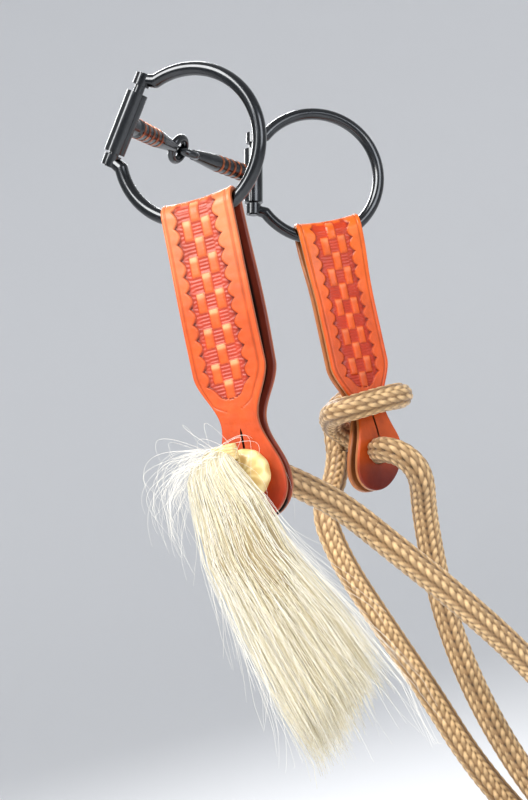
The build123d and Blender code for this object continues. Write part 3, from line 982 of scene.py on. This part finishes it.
def build_hair():
    """A full bundle of loose horsehair, which gathers into locks as it falls."""
    count, joints, locks = 5200, 18, 120
    lock = rng.integers(0, locks, count)
    lock_turn = rng.uniform(0, 2 * pi, locks)
    lock_share = np.sqrt(rng.uniform(0, 1, locks))
    turn = rng.uniform(0, 2 * pi, count)
    share = np.sqrt(rng.uniform(0, 1, count)) * rng.normal(1.0, 0.035, count)
    start = np.stack([share * np.cos(turn), share * np.sin(turn)], axis=1)
    gather = np.stack([lock_share * np.cos(lock_turn), lock_share * np.sin(lock_turn)], axis=1)[lock]
    sideways = np.clip(gather[:, 0] * 0.8 + start[:, 0] * 0.2, -1, 1)
    end = HAIR_END + 1 + 22 * (sideways + 1.0) + rng.normal(0, 5.5, count)
    short = rng.uniform(0, 1, count) < 0.10
    end = np.where(short, rng.uniform(-228, -165, count), end)
    step = np.linspace(0, 1, joints) ** 1.12
    fall = HAIR_TOP + (end[:, None] - HAIR_TOP) * step[None, :]
    pull = (0.72 * ease(1.35 * step))[None, :, None]
    across = start[:, None] * (1 - pull) + gather[:, None] * pull
    turn, share = np.arctan2(across[..., 1], across[..., 0]), np.hypot(across[..., 0], across[..., 1])
    strands = hair_place(turn, share, fall)
    lock_wave = rng.normal(0, 1.0, (locks, 3))[lock]
    own_wave = rng.normal(0, 1.0, (count, 3))
    lock_phase = rng.uniform(0, 2 * pi, (locks, 2))[lock]
    own_phase = rng.uniform(0, 2 * pi, (count, 2))
    for axis, reach in ((0, 1.0), (1, 0.6)):
        for wave, phase, size in ((lock_wave, lock_phase, 1.9), (own_wave, own_phase, 1.0)):
            sway = np.sin(step[None, :] * (4 + 2.0 * wave[:, 2:3]) + phase[:, axis, None])
            strands[..., axis] += size * reach * wave[:, axis, None] * sway * step[None, :] ** 1.2
    paint = HAIR_TONES[rng.choice(4, count, p=TONE_SHARES)]
    paint = paint * rng.uniform(0.82, 1.0, locks)[lock][:, None]
    hair_mesh("tassel_hair", strands, rng.uniform(0.11, 0.19, count), paint)


def build_core():
    """The ribbed middle of the bundle, painted dark as the shade among the hairs, so that no light shows
    through it.
    """
    rows, sectors, end = 60, 72, -214
    around = circle(sectors)
    fall = np.linspace(HAIR_TOP - 1.5, end, rows)
    narrow = (0.80 - 0.50 * ease((-fall - 165) / 49))[:, None]
    ribs = 0.05 * np.sin(around * 19) + 0.03 * np.sin(around * 31 + 1)
    turn, fall = np.meshgrid(around, fall)
    grid = hair_place(turn, narrow + ribs, fall)
    rings = strap_point("left", grid.reshape(-1, 3)).reshape(grid.shape)
    core = tube_mesh("tassel_core", rings, rings[[0, -1]].mean(axis=1), CORE_HAIR_SHADE)
    dress(core, HAIR, "horsehair", "tassel", "horsehair_tassel")


def build_wisps():
    """A few short hairs that spring out sideways over the binding and curl down."""
    loose, joints, furthest = 115, 26, 26
    step = np.linspace(0, 1, joints)
    origin = np.stack(
        [rng.normal(-7, 4.5, loose), rng.normal(-31, 3.0, loose), rng.uniform(-124, -114, loose)], axis=1
    )
    way = rng.normal(0, 1, (loose, 3)) * (0.7, 0.6, 0.25) + np.array((-0.95, -0.15, 0.15))
    way /= np.linalg.norm(way, axis=1)[:, None]
    span = rng.uniform(16, 34, loose)
    drop = rng.uniform(0.5, 1.5, loose) * span
    curl = rng.uniform(-1, 1, loose)
    flying = origin[:, None] + way[:, None] * span[:, None, None] * np.sin(1.9 * step)[None, :, None]
    flying[..., 2] -= drop[:, None] * step[None] ** 2.0
    flying[..., 0] += curl[:, None] * 6 * np.sin(4.5 * step)[None]
    flying[..., 1] += curl[::-1, None] * 3 * np.sin(3.7 * step + 1)[None]
    forward = np.clip(-30 - flying[..., 1], 0, None)
    flying[..., 1] += forward - furthest * np.tanh(forward / furthest)
    hair_mesh("tassel_wisps", flying, np.full(loose, THIN), PALE_HAIR)


def build_stray_hair():
    """Hairs that stand off the bundle's outside, lower down."""
    below, joints = 170, 22
    step = np.linspace(0, 1, joints)
    turn = rng.uniform(0, 2 * pi, below)
    start = rng.uniform(-218, -130, below)
    length = rng.uniform(28, 62, below)
    fall = np.maximum(start[:, None] - length[:, None] * step[None], HAIR_END)
    strands = hair_place(turn[:, None] + 0 * fall, 0.98 + 0 * fall, fall)
    away = rng.uniform(0.1, 0.42, below)[:, None] * length[:, None] * step[None] ** 1.7
    strands[..., 0] += away * np.sign(np.cos(turn))[:, None] * rng.uniform(0.3, 1.0, below)[:, None]
    strands[..., 1] += 0.4 * away * np.sin(turn)[:, None]
    strands[..., 0] += rng.normal(0, 1.6, below)[:, None] * np.sin(6 * step + 1)[None] * step[None]
    hair_mesh("tassel_stray_hair", strands, np.full(below, THIN), PALE_HAIR)


build_hair()
build_core()
build_wisps()
build_stray_hair()


# ---- the coil's lacing, the popper and the tassel's binding -----------------------------------

BROWN, POPPER_BROWN, WAXED = linear(92, 44, 24), linear(96, 46, 26), linear(226, 200, 140)
UP = np.array((0, 0, 1.0))


def strip_mesh(name, line, outward, half_wide, half_thick, paint):
    """A flat strip with rounded edges along a line of points in mm. outward is its face's way at each."""
    ahead = np.gradient(line, axis=0)
    ahead /= np.linalg.norm(ahead, axis=1)[:, None]
    across = np.cross(ahead, outward)
    across /= np.linalg.norm(across, axis=1)[:, None]
    out = np.cross(across, ahead)
    turn = circle(16)
    wide = half_wide * square_round(np.cos(turn), 0.55)
    thick = half_thick * square_round(np.sin(turn), 0.55)
    rings = line[:, None] + across[:, None] * wide[None, :, None] + out[:, None] * thick[None, :, None]
    return tube_mesh(name, rings * MM, line[[0, -1]] * MM, paint)


def winding(turns, per_turn):
    """The angle at each step of a winding, and how far along it that is, from 0 to 1."""
    share = np.arange(turns * per_turn + 1) / (turns * per_turn)
    return 2 * pi * turns * share, share


def build_tie():
    """A leather lace wrapped round the coil's tied side."""
    wide, deep, height, middle = 36.5, 35.5, 42, COIL_RADIUS + 5.0
    angle, share = winding(6, 72)
    out = COIL_X * np.cos(angle)[:, None] * wide + COIL_AXIS * np.sin(angle)[:, None] * deep
    line = COIL_CENTRE + COIL_X * middle + out + UP * (height * (share - 0.5))[:, None]
    facing = out / np.linalg.norm(out, axis=1)[:, None]
    tie = strip_mesh("coil_lace", line, facing, 3.3, 1.3, BROWN)
    dress(tie, DARK_LEATHER, "dark_leather", ROOT, "coil_tie")


def build_popper():
    """The lead's leather end: one plain flat piece, round where it takes the rope."""
    v = np.linspace(4, -91, 70)
    turn = circle(28)
    half = np.interp(v, [-91, -86, -30, 0, 4], [8.5, 12.5, 12.8, 9.5, 8.4])
    thick = 3.0 + 5.4 * ease((v + 22) / 24)
    wide = (half[:, None] * square_round(np.cos(turn), 0.6))[..., None] * COIL_X
    deep = (thick[:, None] * square_round(np.sin(turn), 0.6))[..., None] * COIL_AXIS
    rings = (np.array(TAIL_END[-1]) + wide + deep + v[:, None, None] * UP) * MM
    piece = tube_mesh("popper_leather", rings, rings[[0, -1]].mean(axis=1), POPPER_BROWN)
    return dress(piece, DARK_LEATHER, "dark_leather", ROOT, "popper")


def build_binding():
    """Waxed cord wound round the top of the hair."""
    wide, deep, height, middle = 5.6, 4.4, 7.5, np.array((-3, -26.2, -122))
    angle, share = winding(5, 40)
    sides = np.stack([np.cos(angle), np.sin(angle), 0 * angle], axis=1)
    local = middle + sides * (wide, deep, 0) + UP * (height * share)[:, None]
    line = strap_point("left", local) / MM
    out = strap_point("left", local + sides) / MM - line
    binding = strip_mesh("tassel_binding_cord", line, out, 0.85, 0.75, WAXED)
    dress(binding, RAWHIDE, "rawhide", "tassel", "tassel_binding")


build_tie()
popper = build_popper()
build_binding()

# ---- materials of the CAD pieces that stay ----------------------------------------------------
for node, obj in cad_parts.items():
    for material, endings in (
        (STEEL, ("cannon", "barrel", "dee_ring", "hinge_pin")),
        (COPPER, ("copper_bands",)),
    ):
        if node.endswith(endings):
            for place in obj.material_slots:
                place.material = material

# ---- studio -----------------------------------------------------------------------------------
FLOOR_Z = float(cad_box[0][2]) - 0.02


def studio_floor():
    """A pale floor that turns up all round into a low wall."""
    profile = [(0.02, 0), (1.0, 0), (2.2, 0), (3.2, 0.08), (3.9, 0.35), (4.4, 0.85), (4.7, 1.6), (4.8, 3.4)]
    sectors = 72
    turn = circle(sectors)
    rings = [np.c_[r * np.cos(turn), r * np.sin(turn), np.full(sectors, FLOOR_Z + h)] for r, h in profile]
    vertices = np.r_[np.concatenate(rings), [[0, 0, FLOOR_Z]]]
    around = np.arange(sectors)
    middle = np.stack([around, (around + 1) % sectors, np.full(sectors, len(vertices) - 1)], axis=1)
    floor = new_mesh("studio_floor", vertices, grid_faces(len(profile), sectors)[:, ::-1], middle)
    modifier = floor.modifiers.new("smooth", "SUBSURF")
    modifier.levels = modifier.render_levels = 2
    s = Shader("floor")
    floor.data.materials.append(s.finish(Base_Color=(0.80, 0.81, 0.83, 1), Roughness=0.9))


studio_floor()
world = bpy.data.worlds.new("studio")
bpy.context.scene.world = world
world.use_nodes = True
sky = world.node_tree.nodes["Background"].inputs
sky["Color"].default_value = (0.93, 0.96, 1.0, 1)
sky["Strength"].default_value = 0.55


def soft_light(name, at, toward, size, watts, colour=(1, 1, 1)):
    """A square soft light that faces a point."""
    data = bpy.data.lights.new(name, "AREA")
    data.size = size
    data.energy = watts
    data.color = colour
    ahead = np.array(toward, float) - np.array(at, float)
    back = -ahead / np.linalg.norm(ahead)
    side = np.cross((0, 0, 1), back)
    side /= np.linalg.norm(side)
    stand_at(add_object(name, data), at, (side, np.cross(back, side), back))


soft_light("key", (-1.5, 0.2, 1.1), (0, 0, -0.2), 1.1, 62, (1.0, 0.97, 0.93))
soft_light("fill", (-0.7, -1.7, 0.2), (0, 0, -0.25), 0.9, 14, (0.97, 0.98, 1.0))
soft_light("rim", (1.2, 0.9, 0.9), (0, 0, -0.2), 0.8, 22)
